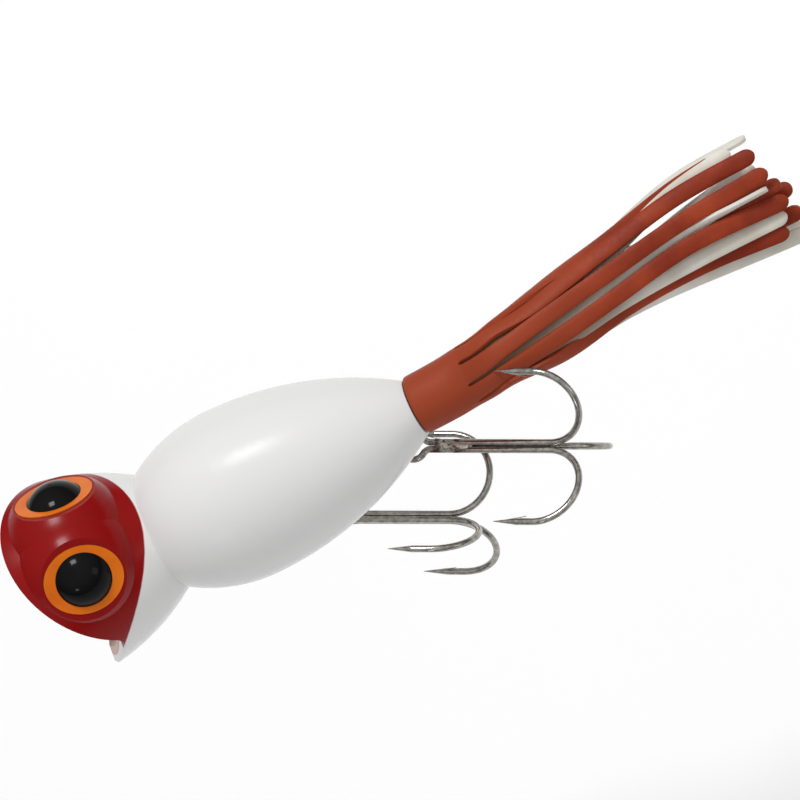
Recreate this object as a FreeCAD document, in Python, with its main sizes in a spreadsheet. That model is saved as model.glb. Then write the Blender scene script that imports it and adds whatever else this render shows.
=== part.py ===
import FreeCAD, Part
import math
import os
import re

import Sketcher
from FreeCAD import Placement, Rotation, Vector

# A topwater popper: a fishing lure with a hollow two-half body, a cupped mouth, two treble
# hooks and a rubber skirt. Millimetres and degrees. +X points to the nose, +Y to the lure's
# left and +Z up. The origin is the centre of the line tie's eye, and stations along the body
# are counted from its widest section, which lies widest_to_tie behind the origin.

SIZES = [
    ("widest_to_tie", 23.4, "widest section to the line tie's eye"),
    ("crown_radius", 12.1, "body radius at the widest section"),
    ("tail_length", 27.0, "widest section to the tail face"),
    ("tail_radius", 4.0, "body radius at the tail face"),
    ("neck_length", 12.4, "widest section to the neck"),
    ("neck_radius", 8.45, "radius at the neck"),
    ("lip_length", 31.0, "widest section to the upper lip's tip"),
    ("lip_radius", 14.0, "radius of the flared head at the lips"),
    ("lip_trim", 4.0, "head blank past the lips, which the mouth's cut takes off"),
    ("flare_radius", 33.0, "radius of the curve of the head's flare"),
    ("jaw_length", 27.4, "widest section to the lower lip's tip"),
    ("jaw_drop", 9.0, "start of the lower lip's tip below the axis"),
    ("notch_length", 23.4, "widest section to the mouth's corner"),
    ("notch_rise", 1.4, "mouth's corner above the axis"),
    ("notch_radius", 2.6, "round of the mouth's corner"),
    ("cup_radius", 12.7, "radius of the round cup in the mouth"),
    ("cup_length", 31.2, "widest section to the cup's centre"),
    ("wall", 1.7, "shell wall round the air chamber"),
    ("chamber_front", 8.0, "widest section to the chamber's front end"),
    ("chamber_back", 12.5, "widest section to the chamber's back end"),
    ("spigot_radius", 1.8, "spigot under the skirt"),
    ("spigot_length", 7.0, "tail face to the spigot's end"),
    ("bead_radius", 2.2, "bead that holds the skirt on"),
    ("bead_width", 1.2, "flat of the bead"),
    ("pin_radius", 1.0, "locating pins between the halves"),
    ("pin_depth", 2.5, "pin length past the parting face"),
    ("fit_gap", 0.05, "radial gap round anything seated in the shell"),
    ("eye_station", 22.0, "widest section to the eyes"),
    ("eye_spread", 6.5, "eye centre off the middle plane"),
    ("eye_height", 11.9, "eye centre above the axis"),
    ("eye_outward", 42.0, "turn of the eyes out from straight up"),
    ("eye_lean", 11.5, "lean of the eyes to the rear"),
    ("eye_slant", 12.0, "slant of the oval rims in their own plane"),
    ("rim_long_radius", 5.55, "half length of the oval eye rim"),
    ("rim_short_radius", 4.85, "half height of the oval eye rim"),
    ("rim_thickness", 0.8, "eye rim plate"),
    ("rim_proud", 0.15, "rim plate above its socket's edge"),
    ("pupil_radius", 3.85, "radius of the domed pupil"),
    ("pupil_height", 1.9, "dome above the rim plate"),
    ("brow_radius", 9.2, "radius of the round brow under each eye"),
    ("brow_depth", 7.2, "brow centre below the eye's face"),
    ("ballast_radius", 3.2, "radius of the ballast slug"),
    ("ballast_length", 9.4, "length of the ballast slug"),
    ("ballast_rise", 1.6, "ballast above the axis"),
    ("ballast_station", 13.5, "widest section to the ballast's front end"),
    ("ring_radius", 1.75, "screw eye ring, to the middle of its wire"),
    ("ring_wire", 0.5, "radius of the screw eye wire"),
    ("stem_radius", 0.7, "radius of the screw eye stem"),
    ("tie_stem", 12.0, "line tie stem"),
    ("belly_stem", 8.6, "belly hanger stem"),
    ("tail_stem", 6.0, "tail hanger stem"),
    ("boss_radius", 2.4, "boss that the belly hanger screws into"),
    ("tail_boss_radius", 1.7, "moulded boss round the tail hanger's stem"),
    ("tail_boss_drop", 7.8, "end of the tail hanger's boss below the axis"),
    ("belly_station", 1.7, "widest section back to the belly hanger"),
    ("belly_drop", 16.06, "belly hanger ring below the axis"),
    ("tail_station", 21.2, "widest section back to the tail hanger"),
    ("tail_drop", 10.09, "tail hanger ring below the axis"),
    ("hook_wire", 0.475, "radius of the hook wire"),
    ("hook_eye_radius", 1.9, "hook eye, to the middle of its wire"),
    ("hook_neck_radius", 1.2, "curve from the hook eye into the shank"),
    ("hook_shank", 20.5, "hook eye centre to the start of the bends"),
    ("hook_bend_radius", 5.6, "hook bend, to the middle of the wire"),
    ("hook_point", 5.8, "bend to the point"),
    ("hook_taper", 3.4, "tapered length of the point"),
    ("hook_barb", 4.8, "point back to the barb's tip"),
    ("barb_rise", 0.85, "barb's tip above the middle of the wire"),
    ("braze_gap", 0.02, "gap left for the braze between shank wires"),
    ("link_reach", 1.8, "hanger ring centre to hook eye centre"),
    ("belly_yaw", 155.0, "heading of the belly hook's shank"),
    ("belly_pitch", 5.4, "fall of the belly hook's shank"),
    ("belly_roll", -113.9, "turn of the belly hook about its shank"),
    ("rear_yaw", 151.8, "heading of the tail hook's shank"),
    ("rear_pitch", -5.5, "fall of the tail hook's shank"),
    ("rear_roll", -73.9, "turn of the tail hook about its shank"),
    ("collar_gap", 0.15, "tail face to the skirt collars"),
    ("collar_length", 9.0, "tail face to the end of the collars"),
    ("collar_radius", 4.2, "outer radius of the outer collar"),
    ("collar_wall", 0.8, "wall of each collar"),
    ("hip_length", 12.6, "tail face to where the strands start to swing"),
    ("hip_side", 2.6, "hip to the right of the axis, clear of the tail hook"),
    ("hip_drop", 3.0, "hip below the axis"),
    ("hip_radius", 3.3, "round end of the strands at the hip"),
    ("fan_station", 18.0, "hip to the widest part of the strands"),
    ("fan_radius", 6.4, "radius of the widest part"),
    ("tip_station", 48.4, "hip to the strand tips"),
    ("tip_radius", 7.6, "radius of the strands at their tips"),
    ("strand_layer", 1.1, "thickness of the outer layer of strands"),
    ("layer_gap", 0.15, "gap between the two layers"),
    ("skirt_yaw", 190.3, "heading of the strands"),
    ("skirt_pitch", 9.5, "droop of the strands"),
]

doc = FreeCAD.newDocument("TopwaterPopper")
sheet = doc.addObject("Spreadsheet::Sheet", "Sizes")
for row, (alias, value, meaning) in enumerate(SIZES, start=1):
    sheet.set("A%d" % row, str(value))
    sheet.setAlias("A%d" % row, alias)
    sheet.set("B%d" % row, meaning)
doc.recompute()

NAMES = re.compile(r"\b(" + "|".join(alias for alias, _, _ in SIZES) + r")\b")
SIDES = {"left": 1, "right": -1}


def linked(expression):
    """The expression with each size's name pointing into the sheet."""
    return NAMES.sub(r"Sizes.\1", expression)


def size(expression):
    """The number that an expression of the sheet's names gives now."""
    result = sheet.evalExpression(linked(expression))
    return float(getattr(result, "Value", result))


def bind(item, **properties):
    """Ties properties to the sheet. Two underscores in a name stand for a dot."""
    for name, expression in properties.items():
        item.setExpression(name.replace("__", "."), linked(str(expression)))
    return item


def place(item, x="0", y="0", z="0", turn=None):
    """Stands an item at a bound place, turned by a Rotation."""
    if turn is not None:
        item.Placement = Placement(Vector(), turn)
    return bind(item, Placement__Base__x=x, Placement__Base__y=y, Placement__Base__z=z)


def new(kind, name, **properties):
    """A Part object with its sizes bound to the sheet."""
    return bind(doc.addObject(kind, name), **properties)


def joined(kind, name, shapes):
    """One boolean of several objects."""
    item = doc.addObject(kind, name)
    item.Shapes = shapes
    return item


def cut(name, base, tool):
    item = doc.addObject("Part::Cut", name)
    item.Base = base
    item.Tool = tool
    return item


# Sketches


def arc_radius(run, rise):
    """Radius of an arc that starts level and falls by rise over run."""
    return "((%s)^2 + (%s)^2) / (2 * (%s))" % (run, rise, rise)


def outline(sketch, corners, arcs=()):
    """A closed outline through corners, which are pairs of expressions.

    arcs maps the number of a side to its radius. A side with a radius turns clockwise.
    """
    arcs = dict(arcs)
    points = [Vector(size(x), size(y), 0) for x, y in corners]
    ends = []
    for side, start in enumerate(points):
        finish = points[(side + 1) % len(points)]
        if side not in arcs:
            line = sketch.addGeometry(Part.LineSegment(start, finish), False)
            ends.append((line, 1, 2))
            continue
        radius = size(arcs[side])
        chord = finish - start
        across = Vector(chord.y, -chord.x, 0).normalize()
        depth = math.sqrt(radius ** 2 - (chord.Length / 2) ** 2)
        centre = (start + finish) * 0.5 + across * depth
        first = math.atan2(finish.y - centre.y, finish.x - centre.x)
        last = math.atan2(start.y - centre.y, start.x - centre.x)
        if last < first:
            last += 2 * math.pi
        circle = Part.Circle(centre, Vector(0, 0, 1), radius)
        curve = sketch.addGeometry(Part.ArcOfCircle(circle, first, last), False)
        ends.append((curve, 2, 1))
    for side, (edge, start_end, finish_end) in enumerate(ends):
        following = ends[(side + 1) % len(ends)]
        sketch.addConstraint(
            Sketcher.Constraint("Coincident", edge, finish_end, following[0], following[1])
        )
        for kind, expression in zip(("DistanceX", "DistanceY"), corners[side]):
            number = sketch.addConstraint(
                Sketcher.Constraint(kind, -1, 1, edge, start_end, size(expression))
            )
            sketch.setExpression("Constraints[%d]" % number, linked(expression))
        if side in arcs:
            number = sketch.addConstraint(
                Sketcher.Constraint("Radius", edge, size(arcs[side]))
            )
            sketch.setExpression("Constraints[%d]" % number, linked(arcs[side]))
    return sketch


def ring_section(sketch, across, radius):
    """A circle at a bound distance from the sketch's upright axis."""
    circle = Part.Circle(Vector(size(across), 0, 0), Vector(0, 0, 1), size(radius))
    edge = sketch.addGeometry(circle, False)
    sketch.addConstraint(Sketcher.Constraint("PointOnObject", edge, 3, -1))
    for constraint, expression in (
        (Sketcher.Constraint("DistanceX", -1, 1, edge, 3, size(across)), across),
        (Sketcher.Constraint("Radius", edge, size(radius)), radius),
    ):
        number = sketch.addConstraint(constraint)
        sketch.setExpression("Constraints[%d]" % number, linked(expression))
    return sketch


def new_body(label):
    body = doc.addObject("PartDesign::Body", label)
    body.Label = label
    return body


def plane_sketch(body, role, name):
    """A sketch on one of the body's own origin planes."""
    sketch = body.newObject("Sketcher::SketchObject", name)
    plane = next(item for item in body.Origin.OriginFeatures if item.Role == role)
    sketch.AttachmentSupport = [(plane, "")]
    sketch.MapMode = "FlatFace"
    return sketch


def turned(body, sketch, axis):
    """Turns a sketch a full circle about one of its axes."""
    feature = body.newObject("PartDesign::Revolution", body.Name + "_" + sketch.Name)
    feature.Profile = sketch
    feature.ReferenceAxis = (sketch, [axis])
    feature.Angle = 360
    sketch.Visibility = False
    return feature


def lathe_body(label, corners, arcs=()):
    """A body turned about its X axis from an outline of stations and radii."""
    body = new_body(label)
    sketch = plane_sketch(body, "XZ_Plane", label + "_outline")
    turned(body, outline(sketch, corners, arcs), "H_Axis")
    return body


def lathe_part(name, corners, arcs=()):
    """A Part solid turned about X, for use in booleans."""
    sketch = doc.addObject("Sketcher::SketchObject", name + "_outline")
    sketch.Placement = Placement(Vector(), Rotation(Vector(1, 0, 0), 90))
    outline(sketch, corners, arcs)
    solid = doc.addObject("Part::Revolution", name)
    solid.Source = sketch
    solid.Axis = Vector(1, 0, 0)
    solid.Angle = 360
    solid.Solid = True
    return solid


# Body shell

EGG_FRONT = arc_radius("neck_length", "crown_radius - neck_radius")
EGG_BACK = arc_radius("tail_length", "crown_radius - tail_radius")
# Half the height of the mouth's rounded corner.
NOTCH_TURN = "0.7 * notch_radius"
# Station and height of each locating pin.
PIN_PLACES = [
    ("neck_length", "neck_radius / 2"),
    ("-chamber_back - 2 * pin_radius", "-crown_radius / 2"),
]


def chamber_radius(station, curve):
    """Radius of the air chamber at a station, one wall inside the egg's curve."""
    return "crown_radius - (%s) + sqrt(((%s) - wall)^2 - (%s)^2)" % (curve, curve, station)


def eye_turn(side):
    """The eye's frame: z out of the eye, x forward along its oval."""
    outward = Rotation(Vector(1, 0, 0), -SIDES[side] * size("eye_outward"))
    lean = Rotation(Vector(0, 1, 0), -size("eye_lean"))
    slant = Rotation(Vector(0, 0, 1), -SIDES[side] * size("eye_slant"))
    return outward * lean * slant


def at_eye(item, side, depth, back="0"):
    """Stands an item on the eye's axis, at a depth below the eye's face."""
    turn = eye_turn(side)
    inward = turn.multVec(Vector(0, 0, -1))
    return place(
        item,
        "eye_station - %s + (%s) * %.9f" % (back, depth, inward.x),
        "%d * eye_spread + (%s) * %.9f" % (SIDES[side], depth, inward.y),
        "eye_height + (%s) * %.9f" % (depth, inward.z),
        turn,
    )


def oval(name, growth, height):
    """An upright oval block: the rim's outline, larger by growth."""
    flat = new(
        "Part::Ellipse",
        name + "_outline",
        MajorRadius="rim_long_radius + " + growth,
        MinorRadius="rim_short_radius + " + growth,
    )
    block = new("Part::Extrusion", name, LengthFwd=height)
    block.Base = flat
    block.DirMode = "Custom"
    block.Dir = Vector(0, 0, 1)
    block.Solid = True
    return block


def hanger_hole(name, station, drop, stem):
    """The hole that a hanger's stem screws into from below."""
    hole = new(
        "Part::Cylinder", name, Radius="stem_radius + fit_gap", Height=stem + " + fit_gap"
    )
    return place(hole, "-" + station, "0", "ring_radius - " + drop)


def egg_blank():
    """Egg, flared head, spigot, brows and the tail hanger's boss as one solid."""
    corners = [
        ("-tail_length - spigot_length", "0"),
        ("-tail_length - spigot_length", "spigot_radius"),
        ("-tail_length - spigot_length + bead_radius - spigot_radius", "bead_radius"),
        ("-tail_length - spigot_length + bead_radius - spigot_radius + bead_width", "bead_radius"),
        ("-tail_length - spigot_length + 2 * (bead_radius - spigot_radius) + bead_width",
         "spigot_radius"),
        ("-tail_length", "spigot_radius"),
        ("-tail_length", "tail_radius"),
        ("0", "crown_radius"),
        ("neck_length", "neck_radius"),
        ("lip_length", "lip_radius"),
        ("lip_length + lip_trim", "lip_radius"),
        ("lip_length + lip_trim", "0"),
    ]
    arcs = {6: EGG_BACK, 7: EGG_FRONT, 8: "flare_radius"}
    shapes = [lathe_part("egg_and_head", corners, arcs)]
    for side in SIDES:
        brow = new("Part::Sphere", side + "_brow", Radius="brow_radius")
        shapes.append(at_eye(brow, side, "brow_depth"))
    boss = new(
        "Part::Cone",
        "tail_boss",
        Radius1="0.8 * tail_boss_radius",
        Radius2="tail_boss_radius",
        Height="tail_boss_drop",
    )
    shapes.append(place(boss, "-tail_station", "0", "-tail_boss_drop"))
    return joined("Part::MultiFuse", "body_blank", shapes)


def chamber():
    """The air chamber, less the boss that carries the belly hanger."""
    corners = [
        ("-chamber_back", "0"),
        ("-chamber_back", chamber_radius("chamber_back", EGG_BACK)),
        ("0", "crown_radius - wall"),
        ("chamber_front", chamber_radius("chamber_front", EGG_FRONT)),
        ("chamber_front", "0"),
    ]
    arcs = {1: "%s - wall" % EGG_BACK, 2: "%s - wall" % EGG_FRONT}
    air = lathe_part("air", corners, arcs)
    boss = new(
        "Part::Cylinder",
        "belly_boss",
        Radius="boss_radius",
        Height="belly_stem + wall",
    )
    place(boss, "-belly_station", "0", "ring_radius - belly_drop")
    return cut("air_chamber", air, boss)


def mouth_cuts():
    """The notch seen from the side, and the round cup inside it."""
    reach = "(lip_radius + lip_trim)"
    climb = "(lip_radius - notch_rise - %s)" % NOTCH_TURN
    lip_slope = "((lip_length - notch_length) / %s)" % climb
    corners = [
        ("jaw_length", "-" + reach),
        ("jaw_length", "-jaw_drop"),
        ("notch_length", "notch_rise - " + NOTCH_TURN),
        ("notch_length", "notch_rise + " + NOTCH_TURN),
        ("lip_length + lip_trim * " + lip_slope, reach),
        ("lip_length + 3 * lip_trim", reach),
        ("lip_length + 3 * lip_trim", "-" + reach),
    ]
    side_view = doc.addObject("Sketcher::SketchObject", "notch_outline")
    side_view.Placement = Placement(Vector(), Rotation(Vector(1, 0, 0), 90))
    outline(side_view, corners, {2: "notch_radius"})
    notch = new("Part::Extrusion", "notch", LengthFwd="2 * " + reach)
    notch.Base = side_view
    notch.DirMode = "Normal"
    notch.Solid = True
    notch.Symmetric = True
    cup = new("Part::Sphere", "cup", Radius="cup_radius")
    place(cup, "cup_length")
    return [notch, cup]


def eye_cuts(side):
    """The flat face round an eye, and the socket that its rim sits in."""
    face = new(
        "Part::Cylinder",
        side + "_eye_face",
        Radius="rim_long_radius + 2 * wall",
        Height="2 * wall",
    )
    at_eye(face, side, "rim_proud")
    socket = oval(side + "_eye_socket", "fit_gap", "rim_thickness + wall")
    at_eye(socket, side, "rim_thickness")
    return [face, socket]


def pegs(name, growth):
    """Both locating pins as one shape, larger all round by growth."""
    both = []
    for number, (station, height) in enumerate(PIN_PLACES, start=1):
        peg = new(
            "Part::Cylinder",
            "%s_%d" % (name, number),
            Radius="pin_radius + " + growth,
            Height="2 * pin_depth + 2 * " + growth,
        )
        upright = Rotation(Vector(1, 0, 0), 90)
        both.append(place(peg, station, "pin_depth + " + growth, height, upright))
    return joined("Part::MultiFuse", name + "s", both)


def body_shells():
    """The two moulded halves, which meet on the middle plane."""
    pocket = new(
        "Part::Cylinder",
        "ballast_pocket",
        Radius="ballast_radius + fit_gap",
        Height="ballast_length + 2 * fit_gap",
    )
    along = Rotation(Vector(0, 1, 0), 90)
    place(pocket, "-ballast_station - ballast_length - fit_gap", "0", "ballast_rise", along)
    tie_hole = new(
        "Part::Cylinder",
        "tie_hole",
        Radius="stem_radius + fit_gap",
        Height="tie_stem + fit_gap",
    )
    place(tie_hole, "widest_to_tie - ring_radius - tie_stem - fit_gap", turn=along)
    tools = [chamber(), pocket, tie_hole]
    tools += [
        hanger_hole("belly_hole", "belly_station", "belly_drop", "belly_stem"),
        hanger_hole("tail_hole", "tail_station", "tail_drop", "tail_stem"),
    ]
    tools += mouth_cuts() + eye_cuts("left") + eye_cuts("right")
    hollow = cut("hollow_body", egg_blank(), joined("Part::MultiFuse", "body_tools", tools))

    reach = "2 * lip_length + 2 * tail_length"
    halves = {}
    for side, sign in SIDES.items():
        space = new("Part::Box", side + "_space", Length=reach, Width=reach, Height=reach)
        corner_y = "0" if sign > 0 else "-(%s)" % reach
        place(space, "-(%s) / 2" % reach, corner_y, "-(%s) / 2" % reach)
        halves[side] = joined("Part::MultiCommon", side + "_half", [hollow, space])
    left = joined("Part::MultiFuse", "body_shell_left", [halves["left"], pegs("pin", "0")])
    right = cut("body_shell_right", halves["right"], pegs("socket", "fit_gap"))
    return [place(left, "-widest_to_tie"), place(right, "-widest_to_tie")]


# Eyes


def eye_parts(side):
    """An oval rim plate and the domed pupil that stands in its hole."""
    bore = new(
        "Part::Cylinder",
        side + "_pupil_hole",
        Radius="pupil_radius + fit_gap",
        Height="2 * rim_thickness",
    )
    rim = cut(side + "_eye_rim", oval(side + "_eye_plate", "0", "rim_thickness"), bore)
    at_eye(rim, side, "rim_thickness", "widest_to_tie")
    pupil = new_body(side + "_pupil")
    dome = "(pupil_radius^2 + pupil_height^2) / (2 * pupil_height)"
    corners = [
        ("0", "0"),
        ("0", "rim_thickness + pupil_height"),
        ("pupil_radius", "rim_thickness"),
        ("pupil_radius", "0"),
    ]
    sketch = plane_sketch(pupil, "XZ_Plane", side + "_pupil_outline")
    turned(pupil, outline(sketch, corners, {1: dome}), "V_Axis")
    at_eye(pupil, side, "rim_thickness", "widest_to_tie")
    return [rim, pupil]


# Screw eyes


def screw_eye(label, stem):
    """A wire ring about Y with a pointed stem that rises from its top."""
    body = new_body(label)
    ring = plane_sketch(body, "XY_Plane", label + "_ring")
    turned(body, ring_section(ring, "ring_radius", "ring_wire"), "V_Axis")
    top = "ring_radius + %s" % stem
    corners = [
        ("0", "ring_radius"),
        ("0", top),
        ("stem_radius", top + " - 2 * stem_radius"),
        ("stem_radius", "ring_radius"),
    ]
    rod = plane_sketch(body, "XZ_Plane", label + "_stem")
    turned(body, outline(rod, corners), "V_Axis")
    return body


def screw_eyes():
    tie = screw_eye("line_tie", "tie_stem")
    place(tie, turn=Rotation(Vector(0, 1, 0), -90))
    belly = screw_eye("belly_hanger", "belly_stem")
    place(
        belly,
        "-widest_to_tie - belly_station",
        "0",
        "-belly_drop",
        Rotation(Vector(0, 0, 1), size("belly_yaw")),
    )
    tail = screw_eye("tail_hanger", "tail_stem")
    place(
        tail,
        "-widest_to_tie - tail_station",
        "0",
        "-tail_drop",
        Rotation(Vector(0, 0, 1), size("rear_yaw")),
    )
    return [tie, belly, tail]


# Treble hooks


def wire_along(start, heading, moves, radius):
    """Round wire built from straight runs and arcs, each tangent to the last.

    A move is a length, or an arc's (radius, angle, axis that it turns about).
    """
    at = Vector(start)
    along = Vector(heading).normalize()
    pieces = []
    for move in moves:
        disc = Part.Face(Part.Wire(Part.makeCircle(radius, at, along)))
        if isinstance(move, tuple):
            bend, angle, axis = move
            centre = at + axis.cross(along) * bend
            pieces.append(disc.revolve(centre, axis, angle))
            spin = Rotation(axis, angle)
            at = centre + spin.multVec(at - centre)
            along = spin.multVec(along)
        else:
            pieces.append(disc.extrude(along * move))
            at = at + along * move
    return pieces, at, along


def hook_prong(outward, start, offset):
    """One prong: shank wire, round bend, tapered point and barb."""
    wire = size("hook_wire")
    forward = Vector(1, 0, 0)
    moves = [
        size("hook_shank") - start,
        (size("hook_bend_radius"), 180, forward.cross(outward)),
        size("hook_point - hook_taper"),
    ]
    first = forward * start + outward * offset
    pieces, at, along = wire_along(first, forward, moves, wire)
    taper = size("hook_taper")
    pieces.append(Part.makeCone(wire, wire / 12, taper, at, along))
    tip = at + along * taper
    root = tip - along * (taper / 3)
    barb_tip = tip - along * size("hook_barb") - outward * size("barb_rise")
    sliver = barb_tip - root
    pieces.append(Part.makeCone(wire / 3, wire / 10, sliver.Length, root, sliver))
    return pieces


def around_shank(degrees):
    """The direction across the shank at an angle from the single prong."""
    return Rotation(Vector(1, 0, 0), degrees).multVec(Vector(0, 1, 0))


def eye_loop(offset):
    """The eye of the double hook: the wire leaves one shank, runs round and comes back."""
    wire = size("hook_wire")
    eye = size("hook_eye_radius")
    neck = size("hook_neck_radius")
    second, third = around_shank(120), around_shank(240)
    across = (second - third).normalize()
    half = offset * math.sin(math.radians(60))
    start = math.sqrt((eye + neck) ** 2 - (half + neck) ** 2)
    turn = math.degrees(math.atan2(start, half + neck))
    axis = Vector(1, 0, 0).cross(across)
    moves = [(neck, turn, -axis), (eye, 180 + 2 * turn, axis), (neck, turn, -axis)]
    first = Vector(start, 0, 0) + second * offset
    pieces, _, _ = wire_along(first, Vector(-1, 0, 0), moves, wire)
    return pieces, start


def solid_of(pieces):
    """One solid from pieces that share their end faces."""
    whole = pieces[0].multiFuse(pieces[1:])
    return whole.removeSplitter().Solids[0]


def treble(prefix, station, drop, yaw, pitch, roll):
    """A treble: a double hook bent from one wire, and a single brazed along its shank."""
    offset = size("hook_wire") / math.cos(math.radians(30)) + size("braze_gap")
    loop, start = eye_loop(offset)
    double = loop + hook_prong(around_shank(120), start, offset)
    double += hook_prong(around_shank(240), start, offset)
    single = hook_prong(around_shank(0), start + size("hook_wire"), offset)
    turn = Rotation(size(yaw), size(pitch), size(roll))
    reach = turn.multVec(Vector(1, 0, 0)) * size("link_reach")
    parts = []
    for label, pieces in ((prefix + "_double_hook", double), (prefix + "_single_hook", single)):
        feature = doc.addObject("Part::Feature", label)
        feature.Shape = solid_of(pieces)
        place(
            feature,
            "-widest_to_tie - %s + %.9f" % (station, reach.x),
            "%.9f" % reach.y,
            "-%s + %.9f" % (drop, reach.z),
            turn,
        )
        parts.append(feature)
    return parts


# Skirt


def skirt_collars():
    """Two rubber collars, one inside the other, stretched over the spigot's bead."""
    collars = []
    for label, outer in (
        ("outer_skirt_collar", "collar_radius"),
        ("inner_skirt_collar", "collar_radius - collar_wall - fit_gap"),
    ):
        corners = [
            ("-tail_length - collar_length", outer + " - collar_wall"),
            ("-tail_length - collar_length", outer),
            ("-tail_length - collar_gap", outer),
            ("-tail_length - collar_gap", outer + " - collar_wall"),
        ]
        collars.append(place(lathe_body(label, corners), "-widest_to_tie"))
    return collars


def skirt_strands():
    """The hanging strands: a hollow outer layer and the layer inside it."""
    inside = "strand_layer + layer_gap"
    outer = [
        ("-hip_radius", "0"),
        ("0", "hip_radius"),
        ("fan_station", "fan_radius"),
        ("tip_station", "tip_radius"),
        ("tip_station", "tip_radius - strand_layer"),
        ("fan_station", "fan_radius - strand_layer"),
        ("0", "hip_radius - strand_layer"),
        ("-hip_radius / 2", "0"),
    ]
    inner = [
        ("2 * layer_gap - hip_radius / 2", "0"),
        ("0", "hip_radius - (%s)" % inside),
        ("fan_station", "fan_radius - (%s)" % inside),
        ("tip_station - strand_layer", "tip_radius - (%s)" % inside),
        ("tip_station - strand_layer", "0"),
    ]
    turn = Rotation(size("skirt_yaw"), size("skirt_pitch"), 0)
    layers = []
    for label, corners, arcs in (
        ("outer_skirt_strands", outer, {0: "hip_radius"}),
        ("inner_skirt_strands", inner, {}),
    ):
        body = lathe_body(label, corners, arcs)
        back = "-widest_to_tie - tail_length - hip_length"
        layers.append(place(body, back, "-hip_side", "-hip_drop", turn))
    return layers


def tail_ballast():
    """A metal slug trapped between the halves in the tail."""
    corners = [
        ("-ballast_length", "0"),
        ("-ballast_length", "ballast_radius"),
        ("0", "ballast_radius"),
        ("0", "0"),
    ]
    body = lathe_body("tail_ballast", corners)
    return place(body, "-widest_to_tie - ballast_station", "0", "ballast_rise")


nodes = body_shells()
nodes += eye_parts("left") + eye_parts("right")
nodes += screw_eyes()
nodes += [tail_ballast()]
nodes += treble("belly", "belly_station", "belly_drop", "belly_yaw", "belly_pitch", "belly_roll")
nodes += treble("tail", "tail_station", "tail_drop", "rear_yaw", "rear_pitch", "rear_roll")
nodes += skirt_collars() + skirt_strands()

doc.recompute()
for item in doc.Objects:
    if "Invalid" in item.State or "Error" in item.State:
        raise RuntimeError("%s did not compute: %s" % (item.Name, item.State))
os.makedirs("parts", exist_ok=True)
for node in nodes:
    if node.Shape.isNull() or not node.Shape.isValid():
        raise RuntimeError("%s has no valid shape" % node.Label)
    node.Shape.exportStep("parts/%s.step" % node.Label)
    print("%-22s %8.2f mm3, %d solid" % (node.Label, node.Shape.Volume, len(node.Shape.Solids)))
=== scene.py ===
import math

import bmesh
import bpy
from mathutils import Matrix, Vector


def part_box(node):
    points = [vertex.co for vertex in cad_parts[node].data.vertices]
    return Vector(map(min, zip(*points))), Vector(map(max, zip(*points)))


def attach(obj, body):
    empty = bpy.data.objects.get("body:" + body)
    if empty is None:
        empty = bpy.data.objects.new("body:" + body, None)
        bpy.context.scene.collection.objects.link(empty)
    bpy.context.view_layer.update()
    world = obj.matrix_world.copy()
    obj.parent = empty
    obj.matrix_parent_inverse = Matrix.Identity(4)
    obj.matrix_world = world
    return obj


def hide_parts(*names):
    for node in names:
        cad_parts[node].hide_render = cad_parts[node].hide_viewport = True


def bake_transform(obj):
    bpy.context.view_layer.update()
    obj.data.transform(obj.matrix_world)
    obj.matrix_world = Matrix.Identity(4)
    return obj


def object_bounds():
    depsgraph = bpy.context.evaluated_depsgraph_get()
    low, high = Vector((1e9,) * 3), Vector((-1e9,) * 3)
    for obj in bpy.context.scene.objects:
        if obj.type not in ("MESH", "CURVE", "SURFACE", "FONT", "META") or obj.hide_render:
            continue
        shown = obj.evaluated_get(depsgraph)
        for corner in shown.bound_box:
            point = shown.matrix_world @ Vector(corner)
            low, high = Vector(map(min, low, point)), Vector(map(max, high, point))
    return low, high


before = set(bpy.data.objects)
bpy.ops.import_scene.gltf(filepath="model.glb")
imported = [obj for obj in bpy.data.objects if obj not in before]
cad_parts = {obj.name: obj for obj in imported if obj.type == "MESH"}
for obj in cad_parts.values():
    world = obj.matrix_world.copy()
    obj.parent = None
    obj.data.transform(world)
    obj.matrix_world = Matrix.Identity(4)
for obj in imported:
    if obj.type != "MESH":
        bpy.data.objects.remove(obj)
cad_low, cad_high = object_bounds()

# The topwater popper's looks: paint, plated wire and the rubber skirt. Metres, in the row frame.
# +X is the nose, +Y the lure's left and +Z up. Small sizes are given in millimetres.

MM = 0.001
MIDDLE_X = -23.4 * MM  # the body's widest section: the head's paint is laid out from here
TAIL_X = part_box("outer_skirt_collar")[1].x  # front end of the skirt's sleeves

# Edges sharper than this are shaded as edges.
SHARP_EDGE = math.radians(35)

# Where the Mix node keeps its two colours and its result.
MIX_FIRST, MIX_SECOND, MIX_RESULT = 6, 7, 2

# The skirt is laid out in its own cross-section: ACROSS the view and TOWARD the viewer's side.
ACROSS = Vector((0, 0.9146, -0.404))
TOWARD = Vector((0, 0.404, 0.9146))


# Small helpers


def smooth(t):
    t = min(max(t, 0.0), 1.0)
    return t * t * (3 - 2 * t)


def mix(a, b, t):
    return a + (b - a) * t


def curve_through(stations, values, at):
    """The value at a station on a smooth curve through the given ones."""
    last = len(stations) - 1
    if at <= stations[0]:
        return values[0]
    if at >= stations[last]:
        return values[last]
    i = next(k for k in range(last) if stations[k + 1] >= at)

    def slope(k):
        low, high = max(k - 1, 0), min(k + 1, last)
        return (values[high] - values[low]) / (stations[high] - stations[low])

    span = stations[i + 1] - stations[i]
    t = (at - stations[i]) / span
    rise = slope(i) * span, slope(i + 1) * span
    return (
        (2 * t ** 3 - 3 * t ** 2 + 1) * values[i]
        + (t ** 3 - 2 * t ** 2 + t) * rise[0]
        + (3 * t ** 2 - 2 * t ** 3) * values[i + 1]
        + (t ** 3 - t ** 2) * rise[1]
    )


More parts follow.
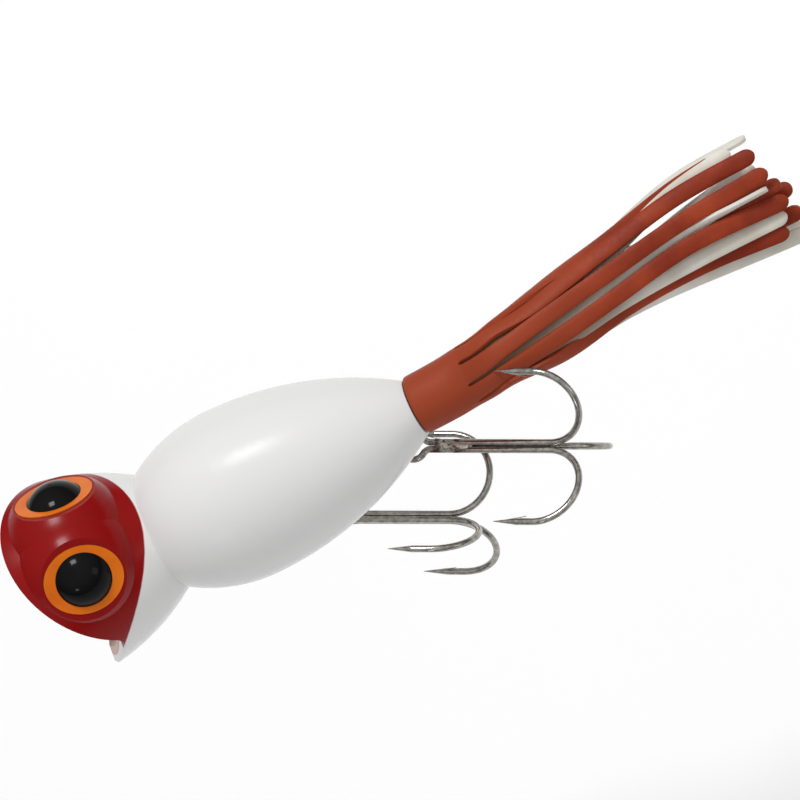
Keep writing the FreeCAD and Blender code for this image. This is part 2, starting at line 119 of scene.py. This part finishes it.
def new_object(name, mesh_builder, material):
    """A smooth-shaded object from a bmesh, which is used up."""
    data = bpy.data.meshes.new(name)
    bmesh.ops.recalc_face_normals(mesh_builder, faces=mesh_builder.faces)
    mesh_builder.to_mesh(data)
    mesh_builder.free()
    data.shade_smooth()
    data.set_sharp_from_angle(angle=SHARP_EDGE)
    thing = bpy.data.objects.new(name, data)
    bpy.context.scene.collection.objects.link(thing)
    thing.data.materials.append(material)
    return thing


# Materials


class Shader:
    """A node material, with short calls for the nodes that these finishes need.

    Lengths in its textures are metres in the row frame, as the pieces are not moved.
    """

    def __init__(self, name):
        self.material = bpy.data.materials.new(name)
        self.material.use_nodes = True
        self.tree = self.material.node_tree
        self.surface = self.tree.nodes["Principled BSDF"]
        self.where = self.node("ShaderNodeTexCoord").outputs["Object"]

    def node(self, kind, **settings):
        made = self.tree.nodes.new(kind)
        for name, value in settings.items():
            setattr(made, name, value)
        return made

    def feed(self, socket, value):
        if isinstance(value, bpy.types.NodeSocket):
            self.tree.links.new(value, socket)
        else:
            socket.default_value = value

    def math(self, operation, *values):
        made = self.node("ShaderNodeMath", operation=operation)
        for socket, value in zip(made.inputs, values):
            self.feed(socket, value)
        return made.outputs[0]

    def axes(self):
        made = self.node("ShaderNodeSeparateXYZ")
        self.feed(made.inputs[0], self.where)
        return made.outputs

    def vector(self, operation, a, b):
        made = self.node("ShaderNodeVectorMath", operation=operation)
        self.feed(made.inputs[0], a)
        self.feed(made.inputs[1], b)
        return made.outputs["Value" if operation in ("DOT_PRODUCT", "DISTANCE") else "Vector"]

    def noise(self, scale, detail=3.0, roughness=0.5):
        made = self.node("ShaderNodeTexNoise")
        self.feed(made.inputs["Vector"], self.where)
        made.inputs["Scale"].default_value = scale
        made.inputs["Detail"].default_value = detail
        made.inputs["Roughness"].default_value = roughness
        return made.outputs["Fac"]

    def ramp(self, value, low, high, start=0.0, end=1.0):
        """Eases from start to end while the value goes from low to high."""
        made = self.node("ShaderNodeMapRange", interpolation_type="SMOOTHSTEP")
        for socket, number in zip(made.inputs, (value, low, high, start, end)):
            self.feed(socket, number)
        return made.outputs[0]

    def blend(self, share, first, second):
        made = self.node("ShaderNodeMix", data_type="RGBA")
        self.feed(made.inputs["Factor"], share)
        self.feed(made.inputs[MIX_FIRST], first)
        self.feed(made.inputs[MIX_SECOND], second)
        return made.outputs[MIX_RESULT]

    def bump(self, height, depth):
        made = self.node("ShaderNodeBump")
        made.inputs["Strength"].default_value = 1.0
        made.inputs["Distance"].default_value = depth
        self.feed(made.inputs["Height"], height)
        self.feed(self.surface.inputs["Normal"], made.outputs[0])

    def set(self, **values):
        for name, value in values.items():
            self.feed(self.surface.inputs[name.replace("_", " ")], value)


def colour(red, green, blue):
    return (red, green, blue, 1.0)


WHITE_PAINT = colour(0.72, 0.715, 0.71)
RED_PAINT = colour(0.24, 0.001, 0.001)
# Painted shade with reflected red on the white inside of the mouth: copper deep in, paler near
# the lip where more light gets in.
COPPER_PAINTED_SHADE = colour(0.42, 0.13, 0.07)
LIP_PAINTED_SHADE = colour(0.46, 0.21, 0.14)

# The edge of the red, in millimetres: its station at no height on the middle plane, how it
# leans back with height, and how it bows forward with the square of the distance to a side.
RED_EDGE_STATION = 18.2
RED_EDGE_LEAN = -0.667
RED_EDGE_BOW = 0.0292
RED_EDGE_BLUR = 0.14
RED_EDGE_DRIFT = 0.12

# The mouth's colours, painted shade below and red paint above, fill a ball round the cup's
# centre. It is a little wider than the cup, and so takes in the lip. Millimetres.
CUP_STATION = 31.2
MOUTH_COLOUR_RADIUS = 13.6
MOUTH_COLOUR_BLUR = 0.1


def body_paint():
    """White lacquer, with the head's top sprayed red, and painted shade with reflected red
    inside the mouth.
    """
    look = Shader("body_paint")
    x, y, z = look.axes()
    station = look.math("MULTIPLY", look.math("SUBTRACT", x, MIDDLE_X), 1 / MM)
    side = look.math("MULTIPLY", y, 1 / MM)
    height = look.math("MULTIPLY", z, 1 / MM)
    # The spray line leaves the mouth's corners, climbs the head and meets behind the eyes.
    crest = look.math("MULTIPLY_ADD", height, RED_EDGE_LEAN, RED_EDGE_STATION)
    spread = look.math("MULTIPLY", look.math("MULTIPLY", side, side), RED_EDGE_BOW)
    past_line = look.math("SUBTRACT", station, look.math("ADD", crest, spread))
    drift = look.math("MULTIPLY", look.math("SUBTRACT", look.noise(900), 0.5), RED_EDGE_DRIFT)
    edge = look.math("ADD", past_line, drift)
    above_corner = look.ramp(height, -0.5, -0.2)
    red = look.math("MULTIPLY", look.ramp(edge, -RED_EDGE_BLUR, RED_EDGE_BLUR), above_corner)
    outside = look.blend(red, WHITE_PAINT, RED_PAINT)
    # The mouth: painted shade with reflected red, copper deep inside and across the lip, paler
    # towards the lip's outer edge where more light reaches, and turning to the red paint above
    # its corners.
    cup_centre = (MIDDLE_X + CUP_STATION * MM, 0, 0)
    from_centre = look.vector("DISTANCE", look.where, cup_centre)
    outer_radius = MOUTH_COLOUR_RADIUS + MOUTH_COLOUR_BLUR
    inside = look.ramp(from_centre, MOUTH_COLOUR_RADIUS * MM, outer_radius * MM, 1.0, 0.0)
    mouth_painted_shade = look.blend(look.ramp(station, 20.0, 27.0), COPPER_PAINTED_SHADE, LIP_PAINTED_SHADE)
    upper = look.ramp(height, 0.0, 3.0)
    cup = look.blend(upper, mouth_painted_shade, RED_PAINT)
    look.set(
        Base_Color=look.blend(inside, outside, cup),
        Roughness=look.ramp(look.noise(160), 0.3, 0.7, 0.20, 0.27),
        Specular_IOR_Level=0.16,
    )
    look.bump(look.noise(420, 2.0), 0.012 * MM)
    return look.material


def rim_paint():
    """Orange enamel."""
    look = Shader("rim_paint")
    shade = look.ramp(look.noise(240, 4.0), 0.25, 0.75)
    look.set(
        Base_Color=look.blend(shade, colour(0.62, 0.115, 0.002), colour(0.72, 0.165, 0.004)),
        Roughness=0.25,
        Specular_IOR_Level=0.2,
    )
    look.bump(look.noise(700, 2.0), 0.01 * MM)
    return look.material


def pupil_gloss():
    """Black gloss."""
    look = Shader("pupil_gloss")
    shade = look.ramp(look.noise(120), 0.3, 0.7)
    look.set(
        Base_Color=look.blend(shade, colour(0.002, 0.002, 0.002), colour(0.006, 0.006, 0.007)),
        Roughness=look.ramp(look.noise(300), 0.3, 0.7, 0.08, 0.13),
        Specular_IOR_Level=0.10,
    )
    return look.material


# Where flux is left along a shank, behind its eye: it fades in, then out. Millimetres.
FLUX_START = (1.5, 3.0)
FLUX_STOP = (6.5, 9.5)


def plated_wire(name, brazed=None):
    """Bright nickel. brazed is (hook eye, heading): brown flux is left along that shank."""
    look = Shader(name)
    streak = look.noise(1500, 4.0, 0.6)
    clean = look.blend(
        look.ramp(streak, 0.3, 0.7), colour(0.24, 0.225, 0.20), colour(0.44, 0.425, 0.39)
    )
    roughness = look.ramp(streak, 0.25, 0.8, 0.08, 0.18)
    if brazed is None:
        look.set(Base_Color=clean, Roughness=roughness)
    else:
        eye, heading = brazed
        offset = look.vector("SUBTRACT", look.where, eye)
        along = look.vector("DOT_PRODUCT", offset, heading)
        start = look.ramp(along, *(place * MM for place in FLUX_START))
        stop = look.ramp(along, *(place * MM for place in FLUX_STOP), 1.0, 0.0)
        patches = look.ramp(look.noise(900, 5.0, 0.65), 0.46, 0.56)
        stain = look.math("MULTIPLY", look.math("MULTIPLY", start, stop), patches)
        look.set(
            Base_Color=look.blend(stain, clean, colour(0.085, 0.045, 0.03)),
            Roughness=look.math("MULTIPLY_ADD", stain, 0.3, roughness),
        )
    look.set(Metallic=1.0)
    look.bump(look.noise(2600, 3.0), 0.006 * MM)
    return look.material


def braze_metal():
    """Silver solder with burnt flux."""
    look = Shader("braze_metal")
    crust = look.noise(1300, 6.0, 0.7)
    burnt = look.ramp(crust, 0.42, 0.60)
    look.set(
        Base_Color=look.blend(burnt, colour(0.62, 0.58, 0.52), colour(0.13, 0.065, 0.045)),
        Roughness=look.ramp(crust, 0.3, 0.7, 0.28, 0.6),
        Metallic=1.0,
    )
    look.bump(crust, 0.02 * MM)
    return look.material


# The rubber has its root colour up to the first place behind the sleeves' front, and its mottled
# strip colours beyond the second. On the pale skirt that root colour is painted shade, dark near
# the sleeve where the bundle shades it. Millimetres.
ROOT_COLOUR_AND_SHADE_ENDS = (14, 42)


def rubber(name, deep, lit, root):
    """Satin rubber: strips mottled from deep to lit, a root colour near the sleeve, which is
    painted shade where it is darker than the strips, and a fine grain.
    """
    look = Shader(name)
    mottle = look.ramp(look.noise(110, 5.0, 0.55), 0.3, 0.7)
    grain = look.noise(2200, 2.0)
    near, far = ROOT_COLOUR_AND_SHADE_ENDS
    # Towards the sleeve the strips take the root colour; a dark root colour there is painted
    # shade.
    toward_root = look.ramp(look.axes()[0], TAIL_X - far * MM, TAIL_X - near * MM)
    look.set(
        Base_Color=look.blend(toward_root, look.blend(mottle, deep, lit), root),
        Roughness=look.ramp(grain, 0.2, 0.8, 0.46, 0.60),
        Specular_IOR_Level=0.18,
    )
    look.bump(grain, 0.02 * MM)
    return look.material


def cast_metal():
    """Dull grey casting, for the slug inside the body."""
    look = Shader("cast_metal")
    pits = look.noise(900, 5.0)
    look.set(
        Base_Color=look.blend(pits, colour(0.16, 0.16, 0.17), colour(0.30, 0.30, 0.31)),
        Roughness=look.ramp(pits, 0.3, 0.7, 0.4, 0.6),
        Metallic=1.0,
    )
    look.bump(pits, 0.04 * MM)
    return look.material


def give(material, *nodes):
    """Gives CAD nodes their material."""
    for node in nodes:
        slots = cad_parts[node].data.materials
        slots.clear()
        slots.append(material)


RING_RADIUS = 2.25 * MM  # from the centre of a screw eye's ring to its outside
EYE_REACH = 1.8 * MM  # from the ring's centre to the middle of the hook's eye


def shank(hanger, heading, fall):
    """Where a treble's eye sits and which way its shank runs, as degrees round and down."""
    low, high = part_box(hanger)
    ring = Vector(((low.x + high.x) / 2, 0, low.z + RING_RADIUS))
    turn, drop = math.radians(heading), math.radians(fall)
    direction = Vector(
        (math.cos(turn) * math.cos(drop), math.sin(turn) * math.cos(drop), -math.sin(drop))
    )
    return ring + direction * EYE_REACH, direction


BELLY_SHANK = shank("belly_hanger", 155.0, 5.4)
TAIL_SHANK = shank("tail_hanger", 151.8, -5.5)

give(body_paint(), "body_shell_left", "body_shell_right")
give(rim_paint(), "left_eye_rim", "right_eye_rim")
give(pupil_gloss(), "left_pupil", "right_pupil")
give(plated_wire("screw_eye_wire"), "line_tie", "belly_hanger", "tail_hanger")
give(plated_wire("belly_hook_wire", BELLY_SHANK), "belly_double_hook", "belly_single_hook")
give(plated_wire("tail_hook_wire", TAIL_SHANK), "tail_double_hook", "tail_single_hook")
give(cast_metal(), "tail_ballast")

RED_RUBBER = rubber(
    "skirt_rubber",
    deep=colour(0.19, 0.018, 0.004),
    lit=colour(0.33, 0.043, 0.012),
    root=colour(0.30, 0.046, 0.015),
)
PALE_RUBBER = rubber(
    "skirt_inner_rubber",
    deep=colour(0.56, 0.52, 0.44),
    lit=colour(0.74, 0.72, 0.66),
    # Painted shade: the pale strips darken to brown towards the sleeve, where the bundle shades
    # them.
    root=colour(0.17, 0.095, 0.055),
)


# Braze

BRAZE_ENDS = (3.4 * MM, 9.0 * MM)  # distances behind the hook's eye, along the shank
BRAZE_TIP_RADIUS = 0.42
BRAZE_SWELL = 0.46  # what the middle's radius has over the tips'
BRAZE_ROWS = 26
BRAZE_SIDES = 20
BRAZE = braze_metal()


def close_tube(builder, rings):
    """Skins a run of rings and caps both ends."""
    for one, other in zip(rings, rings[1:]):
        for k in range(len(one)):
            n = (k + 1) % len(one)
            builder.faces.new((one[k], one[n], other[n], other[k]))
    builder.faces.new(rings[0][::-1])
    builder.faces.new(rings[-1])


def braze(name, body, place):
    """The filler that runs into the grooves between the three shank wires."""
    eye, direction = place
    first = direction.orthogonal().normalized()
    second = direction.cross(first)
    builder = bmesh.new()
    rings = []
    for row in range(BRAZE_ROWS):
        t = row / (BRAZE_ROWS - 1)
        centre = eye + direction * mix(*BRAZE_ENDS, t)
        swell = math.sqrt(max(0.0, 1 - abs(2 * t - 1) ** 3))
        ring = []
        for side in range(BRAZE_SIDES):
            angle = 2 * math.pi * side / BRAZE_SIDES
            ripple = 0.03 * math.sin(3 * angle + 5 * t) + 0.02 * math.sin(5 * angle - 9 * t)
            radius = (BRAZE_TIP_RADIUS + (BRAZE_SWELL + ripple) * swell) * MM
            out = first * radius * math.cos(angle) + second * radius * math.sin(angle)
            ring.append(builder.verts.new(centre + out))
        rings.append(ring)
    close_tube(builder, rings)
    thing = new_object(name, builder, BRAZE)
    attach(thing, body)


braze("belly_braze", "belly_treble", BELLY_SHANK)
braze("tail_braze", "tail_treble", TAIL_SHANK)


# Skirt

# The bundle's outline is an ellipse at each distance behind the sleeves' front end. These
# and the other sizes of the skirt are in millimetres.
BUNDLE_STATIONS = (0, 5, 8, 10.5, 12.6, 16, 20, 31, 45, 60)
CENTRE_ACROSS = (-0.2, -0.4, -0.7, -0.9, -1.3, -2.3, -3.2, -4.6, -5.2, -5.4)
CENTRE_TOWARD = (0, 0, -0.9, -2.25, -3.15, -4.1, -5.2, -7.6, -10.8, -14.2)
HALF_ACROSS = (4.2, 4.25, 4.3, 4.4, 4.5, 5.2, 6.2, 6.9, 7.5, 8.0)
HALF_TOWARD = (4.2, 4.2, 3.9, 3.1, 2.55, 3.0, 3.9, 5.6, 6.4, 6.8)

SLEEVE_RADIUS = 4.2  # the outer sleeve's, which the bundle's outline starts with
SLEEVE_ROWS = (0, 0.12, 0.35, 0.8, 2, 3.5, 5, 6.2, 7.2)
SLEEVE_ROUNDING = (0.34, 0.14, 0.03)  # how far the sleeve's first rows are drawn in
SLIT_START = 8.2  # where the slits between strips begin
SLIT_SHARE = 0.17  # a slit's share of the room that each strip has round the sleeve
SLIT_ROUNDING = 0.6  # length of the slit's round end
SLIT_ROWS = (0.08, 0.25, 0.5, 0.75, 1.0)  # rows along that end, as shares of its length
ROOT_STATIONS = (9, 13)  # the last places where a strip still follows the sleeve's round
LIE_STATIONS = (20, 31, 43)  # where each strip's own lie is given, as well as at its tip
FREE_LENGTH = 7.0  # how long a strip takes to leave the sleeve's shape, past the slit's start
THIN_LENGTH = 1.5  # how long its edges take to thin
EDGE_THINNING = 0.4  # share of the wall that is gone at a strip's very edge
CROWN = 0.1  # how far a strip's edges curl back from its middle
FIRST_TURN = (11, 17)  # where a strip starts to turn its face, and how long that takes
SECOND_TURN = (28, 24)  # the same for its turn to the tip
RUN_ROWS = 44  # rows along a strip between the slit's end and the tip
TIP_ANGLES = range(15, 90, 12)  # rows round the tip, in degrees

# Places across a strip, from edge to edge. Neighbours share an edge while in the sleeve.
COLUMNS = (-1, -0.88, -0.5, 0, 0.5, 0.88, 1)
PANELS = len(COLUMNS) - 1


class Strip:
    """One rubber strip of a skirt.

    root: its angle round the sleeve, in degrees. faces: the angles that its face looks at
    after its first turn and at the tip (90 looks at the viewer). across: its place across
    the view at each lie station and at the tip. layer: its place in the bundle's
    thickness, at the first lie station, at the other two and at the tip, where 1 is the
    side nearest the viewer and -1 the far one. end: how far the tip reaches.
    """

    def __init__(self, root, faces, across, layer, end):
        self.root = root
        self.faces = faces
        self.across = across
        self.layer = layer
        self.end = end


RED_STRIPS = (
    Strip(96, (88, 92), (-3.1, -4.8, -6.7, -7.8), (0.95, 1.0, 1.0), 56.5),
    Strip(141, (112, 96), (-5.5, -7.8, -10.1, -10.8), (0.6, 0.72, 0.8), 55.8),
    Strip(186, (150, 108), (-7.4, -9.3, -11.5, -12.2), (0.1, 0.1, 0.0), 50.5),
    Strip(231, (235, 130), (-6.0, -6.4, -6.2, -5.9), (-0.55, -0.45, 0.1), 56.6),
    Strip(276, (270, 100), (-2.2, -3.4, -4.2, -4.5), (-0.9, -0.8, -0.3), 57.4),
    Strip(321, (300, 70), (2.0, 0.6, -0.6, -0.8), (-0.6, -0.5, 0.1), 57.6),
    Strip(6, (66, 82), (2.9, 0.7, 0.0, 0.8), (0.35, 0.42, 0.5), 55.2),
    Strip(51, (84, 94), (0.4, -1.5, -3.4, -3.2), (0.85, 0.9, 0.75), 57.2),
)
PALE_STRIPS = (
    Strip(29, (80, 88), (1.2, -0.4, -1.1, -1.3), (0.5, 0.64, 0.62), 56.0),
    Strip(344, (20, 74), (2.9, 1.8, 1.6, 2.4), (-0.1, 0.0, 0.1), 60.0),
    Strip(74, (100, 8), (-1.4, -3.1, -4.7, -5.3), (0.72, 0.78, 0.92), 55.4),
    Strip(119, (95, 98), (-4.4, -6.8, -10.8, -12.4), (0.42, 0.55, 0.6), 52.8),
    Strip(164, (172, 160), (-5.8, -9.4, -12.8, -13.6), (0.0, -0.2, -0.15), 54.8),
    Strip(209, (215, 110), (-5.0, -6.2, -7.9, -9.0), (-0.4, -0.2, 0.3), 54.6),
    Strip(254, (262, 120), (-2.6, -3.0, -3.4, -3.6), (-0.6, -0.5, -0.4), 54.0),
    Strip(299, (300, 60), (0.8, -0.4, 0.2, 0.6), (-0.45, -0.4, -0.3), 56.4),
)


def bundle(at):
    """Centre and half sizes of the bundle at a distance behind the sleeves' front."""
    return tuple(
        curve_through(BUNDLE_STATIONS, values, at)
        for values in (CENTRE_ACROSS, CENTRE_TOWARD, HALF_ACROSS, HALF_TOWARD)
    )


def spot(back, across, toward):
    """A point from millimetres behind the sleeves' front, across and toward."""
    return Vector((TAIL_X - back * MM, 0, 0)) + ACROSS * (across * MM) + TOWARD * (toward * MM)


def sleeve_point(at, angle, inset):
    """A point on a sleeve, inset below the bundle's outline, and the way out of it there."""
    centre_across, centre_toward, half_across, half_toward = bundle(at)
    turn = math.radians(angle)
    out = ACROSS * math.cos(turn) + TOWARD * math.sin(turn)
    place = spot(
        at,
        centre_across + (half_across - inset) * math.cos(turn),
        centre_toward + (half_toward - inset) * math.sin(turn),
    )
    return place, out


class Skirt:
    """A moulded rubber skirt in one piece: a sleeve that is slit into strips.

    inset: how far its outside lies below the bundle's outline. wall: the rubber's
    thickness. half_width: half a free strip's width, and the radius of its round tip.
    The strips are kept by rising root angle, and the columns of each run the other way.
    """

    def __init__(self, name, strips, material, inset, wall, half_width):
        self.name = name
        self.strips = sorted(strips, key=lambda strip: strip.root)
        self.material = material
        self.inset = inset
        self.wall = wall
        self.half_width = half_width
        self.half_angle = 180 / len(strips)

    def lie(self, strip, at):
        """The middle of a strip's outer face, once it has left the sleeve."""
        _, centre_toward, _, half_toward = bundle(at)
        root = math.radians(strip.root)
        reach = 1 - self.inset / SLEEVE_RADIUS
        stations = ROOT_STATIONS + LIE_STATIONS + (strip.end,)
        rooted = [
            bundle(s)[0] + bundle(s)[2] * reach * math.cos(root) for s in ROOT_STATIONS
        ]
        across = curve_through(stations, rooted + list(strip.across), at)
        depth = reach * math.sin(root)
        first, middle, tip = strip.layer
        layer = curve_through(stations, (depth, depth, first, middle, middle, tip), at)
        return spot(at, across, centre_toward + half_toward * layer)

    def face_angle(self, strip, at):
        """Which way the outer face looks, in degrees, turned the short way each time."""
        middle, tip = strip.faces
        middle = strip.root + ((middle - strip.root + 180) % 360 - 180)
        tip = middle + ((tip - middle + 180) % 360 - 180)
        (first_start, first_length), (second_start, second_length) = FIRST_TURN, SECOND_TURN
        angle = mix(strip.root, middle, smooth((at - first_start) / first_length))
        return mix(angle, tip, smooth((at - second_start) / second_length))

    def row(self, strip, at, width):
        """Outer and inner points across a strip at one station.

        width is the strip's share of its own room there, less its slit and its round tip.
        """
        middle = self.lie(strip, at)
        step = 0.3  # either way, to find which way the strip runs
        ahead = (self.lie(strip, at + step) - self.lie(strip, at - step)).normalized()
        angle = math.radians(self.face_angle(strip, at))
        out = ACROSS * math.cos(angle) + TOWARD * math.sin(angle)
        side = ahead.cross(out).normalized()
        normal = side.cross(ahead)
        free = smooth((at - SLIT_START) / FREE_LENGTH)
        thinned = smooth((at - SLIT_START) / THIN_LENGTH)
        widening = mix(1.0, self.half_width / self.root_half_width(), free)
        outer, inner = [], []
        for w in COLUMNS:
            share = w * width * widening
            wall = self.wall * mix(1.0, (1 - EDGE_THINNING * abs(w) ** 6), thinned)
            loose = middle + side * (share * self.root_half_width() * MM)
            loose -= normal * (CROWN * w * w * MM)
            held, away = sleeve_point(at, strip.root - w * width * self.half_angle, self.inset)
            surface = held.lerp(loose, free)
            facing = away.lerp(normal, free).normalized()
            rounding = (self.wall - wall) / 2
            outer.append(surface - facing * (rounding * MM))
            inner.append(surface - facing * ((self.wall - rounding) * MM))
        return outer, inner

    def root_half_width(self):
        """Half the room that a strip has round the sleeve."""
        return math.radians(self.half_angle) * (SLEEVE_RADIUS - self.inset)

    def slit_share(self, at):
        """What the slit leaves of a strip's room: it opens with a round end."""
        t = min((at - SLIT_START) / SLIT_ROUNDING, 1.0)
        return 1 - SLIT_SHARE * math.sqrt(max(0.0, 1 - (1 - t) ** 2))

    def tip_share(self, strip, at):
        """What the round tip leaves of a strip's width, and never quite nothing."""
        past = (at - (strip.end - self.half_width)) / self.half_width
        return 1.0 if past <= 0 else math.sqrt(max(0.02, 1 - past * past))

    def stations(self, strip):
        """Rows along a strip, close together at the slit and at the round tip."""
        slit = [SLIT_START + SLIT_ROUNDING * share for share in SLIT_ROWS]
        straight_end = strip.end - self.half_width
        run = [mix(slit[-1], straight_end, (k + 1) / RUN_ROWS) for k in range(RUN_ROWS)]
        tip = [
            straight_end + self.half_width * math.sin(math.radians(angle))
            for angle in TIP_ANGLES
        ]
        return slit + run + tip

    def next_column(self, k):
        """The column beside one in the sleeve: after a strip's last, its neighbour's first."""
        if (k + 1) % PANELS:
            return k + 1
        return ((k // PANELS - 1) % len(self.strips)) * PANELS

    def build(self):
        """The whole skirt, as one closed mesh."""
        builder = bmesh.new()
        sleeve = []
        for number, at in enumerate(SLEEVE_ROWS + (SLIT_START,)):
            dip = SLEEVE_ROUNDING[number] if number < len(SLEEVE_ROUNDING) else 0.0
            outer, inner = [], []
            for strip in self.strips:
                for w in COLUMNS[:-1]:
                    angle = strip.root - w * self.half_angle
                    place, out = sleeve_point(at, angle, self.inset)
                    outer.append(builder.verts.new(place - out * (dip * MM)))
                    inner.append(builder.verts.new(place - out * ((self.wall - dip) * MM)))
            sleeve.append((outer, inner))
        columns = range(len(self.strips) * PANELS)
        for (outer, inner), (next_outer, next_inner) in zip(sleeve, sleeve[1:]):
            for k in columns:
                n = self.next_column(k)
                builder.faces.new((outer[k], outer[n], next_outer[n], next_outer[k]))
                builder.faces.new((inner[n], inner[k], next_inner[k], next_inner[n]))
        outer, inner = sleeve[0]
        for k in columns:
            n = self.next_column(k)
            builder.faces.new((outer[n], outer[k], inner[k], inner[n]))
        for number, strip in enumerate(self.strips):
            self.add_strip(builder, strip, number, sleeve[-1])
        return new_object(self.name, builder, self.material)

    def add_strip(self, builder, strip, number, last_row):
        """Carries the sleeve's last row on to a strip's closed tip."""
        columns = [number * PANELS + k for k in range(PANELS)]
        columns.append(self.next_column(columns[-1]))
        outer, inner = ([side[k] for k in columns] for side in last_row)
        for at in self.stations(strip):
            width = self.slit_share(at) * self.tip_share(strip, at)
            row_outer, row_inner = self.row(strip, at, width)
            next_outer = [builder.verts.new(point) for point in row_outer]
            next_inner = [builder.verts.new(point) for point in row_inner]
            for k in range(PANELS):
                builder.faces.new((outer[k], outer[k + 1], next_outer[k + 1], next_outer[k]))
                builder.faces.new((inner[k + 1], inner[k], next_inner[k], next_inner[k + 1]))
            builder.faces.new((outer[0], next_outer[0], next_inner[0], inner[0]))
            builder.faces.new((outer[-1], inner[-1], next_inner[-1], next_outer[-1]))
            outer, inner = next_outer, next_inner
        builder.faces.new(outer + inner[::-1])


outer_skirt = Skirt(
    "outer_skirt", RED_STRIPS, RED_RUBBER, inset=0.0, wall=0.8, half_width=1.42
).build()
inner_skirt = Skirt(
    "inner_skirt", PALE_STRIPS, PALE_RUBBER, inset=0.9, wall=0.7, half_width=1.3
).build()

# Each skirt's placing is baked into its mesh, and the CAD sleeve and strand nodes that it stands
# for are hidden.
for piece, slot, nodes in (
    (outer_skirt, "skirt_rubber", ("outer_skirt_collar", "outer_skirt_strands")),
    (inner_skirt, "skirt_inner_rubber", ("inner_skirt_collar", "inner_skirt_strands")),
):
    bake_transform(piece)
    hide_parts(*nodes)


# Stage

FLOOR_DROP = 85 * MM  # from the lure's lowest point down to the floor
FLOOR_HALF = 6.0  # half the floor's width
SKY_FULL = 0.8  # how far up, of 1, the tent reaches its full white


def floor():
    """A wide pale floor below the lure."""
    look = Shader("pale_floor")
    shade = look.ramp(look.noise(6, 4.0), 0.3, 0.7)
    look.set(
        Base_Color=look.blend(shade, colour(0.93, 0.93, 0.93), colour(0.95, 0.95, 0.95)),
        Roughness=0.7,
    )
    level = cad_low.z - FLOOR_DROP
    builder = bmesh.new()
    corners = ((-1, -1), (1, -1), (1, 1), (-1, 1))
    builder.faces.new(
        [builder.verts.new((x * FLOOR_HALF, y * FLOOR_HALF, level)) for x, y in corners]
    )
    new_object("floor", builder, look.material)


def softbox(name, place, size, power, target):
    """A lamp with a rectangular face, turned to a target."""
    light = bpy.data.lights.new(name, "AREA")
    light.shape = "RECTANGLE"
    light.size, light.size_y = size
    light.energy = power
    thing = bpy.data.objects.new(name, light)
    bpy.context.scene.collection.objects.link(thing)
    thing.location = place
    thing.rotation_euler = (target - place).to_track_quat("-Z", "Y").to_euler()


def sky():
    """A soft white tent, dimmer near the horizon."""
    world = bpy.data.worlds.new("tent")
    world.use_nodes = True
    bpy.context.scene.world = world
    tree = world.node_tree
    background = tree.nodes["Background"]
    where = tree.nodes.new("ShaderNodeTexCoord")
    split = tree.nodes.new("ShaderNodeSeparateXYZ")
    rise = tree.nodes.new("ShaderNodeMapRange")
    blend = tree.nodes.new("ShaderNodeMix")
    blend.data_type = "RGBA"
    tree.links.new(where.outputs["Generated"], split.inputs[0])
    tree.links.new(split.outputs["Z"], rise.inputs["Value"])
    rise.inputs["From Min"].default_value = 0.0
    rise.inputs["From Max"].default_value = SKY_FULL
    blend.inputs[MIX_FIRST].default_value = colour(0.22, 0.22, 0.23)
    blend.inputs[MIX_SECOND].default_value = colour(1.0, 1.0, 1.0)
    tree.links.new(rise.outputs[0], blend.inputs["Factor"])
    tree.links.new(blend.outputs[MIX_RESULT], background.inputs["Color"])
    background.inputs["Strength"].default_value = 0.8


# Camera: the view's right, up and backward directions, the point at its centre, and how
# wide the view is there.
VIEW_RIGHT = Vector((-0.882, 0.336, -0.330))
VIEW_UP = Vector((-0.430, -0.860, 0.276))
VIEW_BACK = Vector((-0.191, 0.385, 0.903))
VIEW_CENTRE = Vector((-48.06, -3.35, -3.79)) * MM
VIEW_DISTANCE = 1.0
VIEW_WIDTH = 109.44 * MM
CLIP_RANGE = (0.1, 20)


def camera():
    """The photo's view, from far enough for its nearly parallel lines."""
    data = bpy.data.cameras.new("camera")
    data.sensor_width = 36
    data.lens = data.sensor_width * VIEW_DISTANCE / VIEW_WIDTH
    data.clip_start, data.clip_end = CLIP_RANGE
    thing = bpy.data.objects.new("camera", data)
    bpy.context.scene.collection.objects.link(thing)
    axes = Matrix((VIEW_RIGHT.normalized(), VIEW_UP.normalized(), VIEW_BACK.normalized()))
    turned = axes.transposed().to_4x4()
    turned.translation = VIEW_CENTRE + VIEW_BACK * VIEW_DISTANCE
    thing.matrix_world = turned
    bpy.context.scene.camera = thing


def beside(right, up, back):
    """A place given from the view's centre, in the view's own directions."""
    return VIEW_CENTRE + VIEW_RIGHT * right + VIEW_UP * up + VIEW_BACK * back


camera()
sky()
floor()
for name, place, size, power in (
    ("key_light", beside(-0.35, 0.45, 0.55), (0.22, 0.18), 3.0),
    ("fill_light", beside(0.6, 0.1, 0.6), (0.3, 0.3), 0.35),
    ("low_light", beside(-0.15, -0.5, 0.35), (0.10, 0.05), 0.12),
):
    softbox(name, place, size, power, VIEW_CENTRE)
bpy.context.scene.view_settings.view_transform = "Standard"
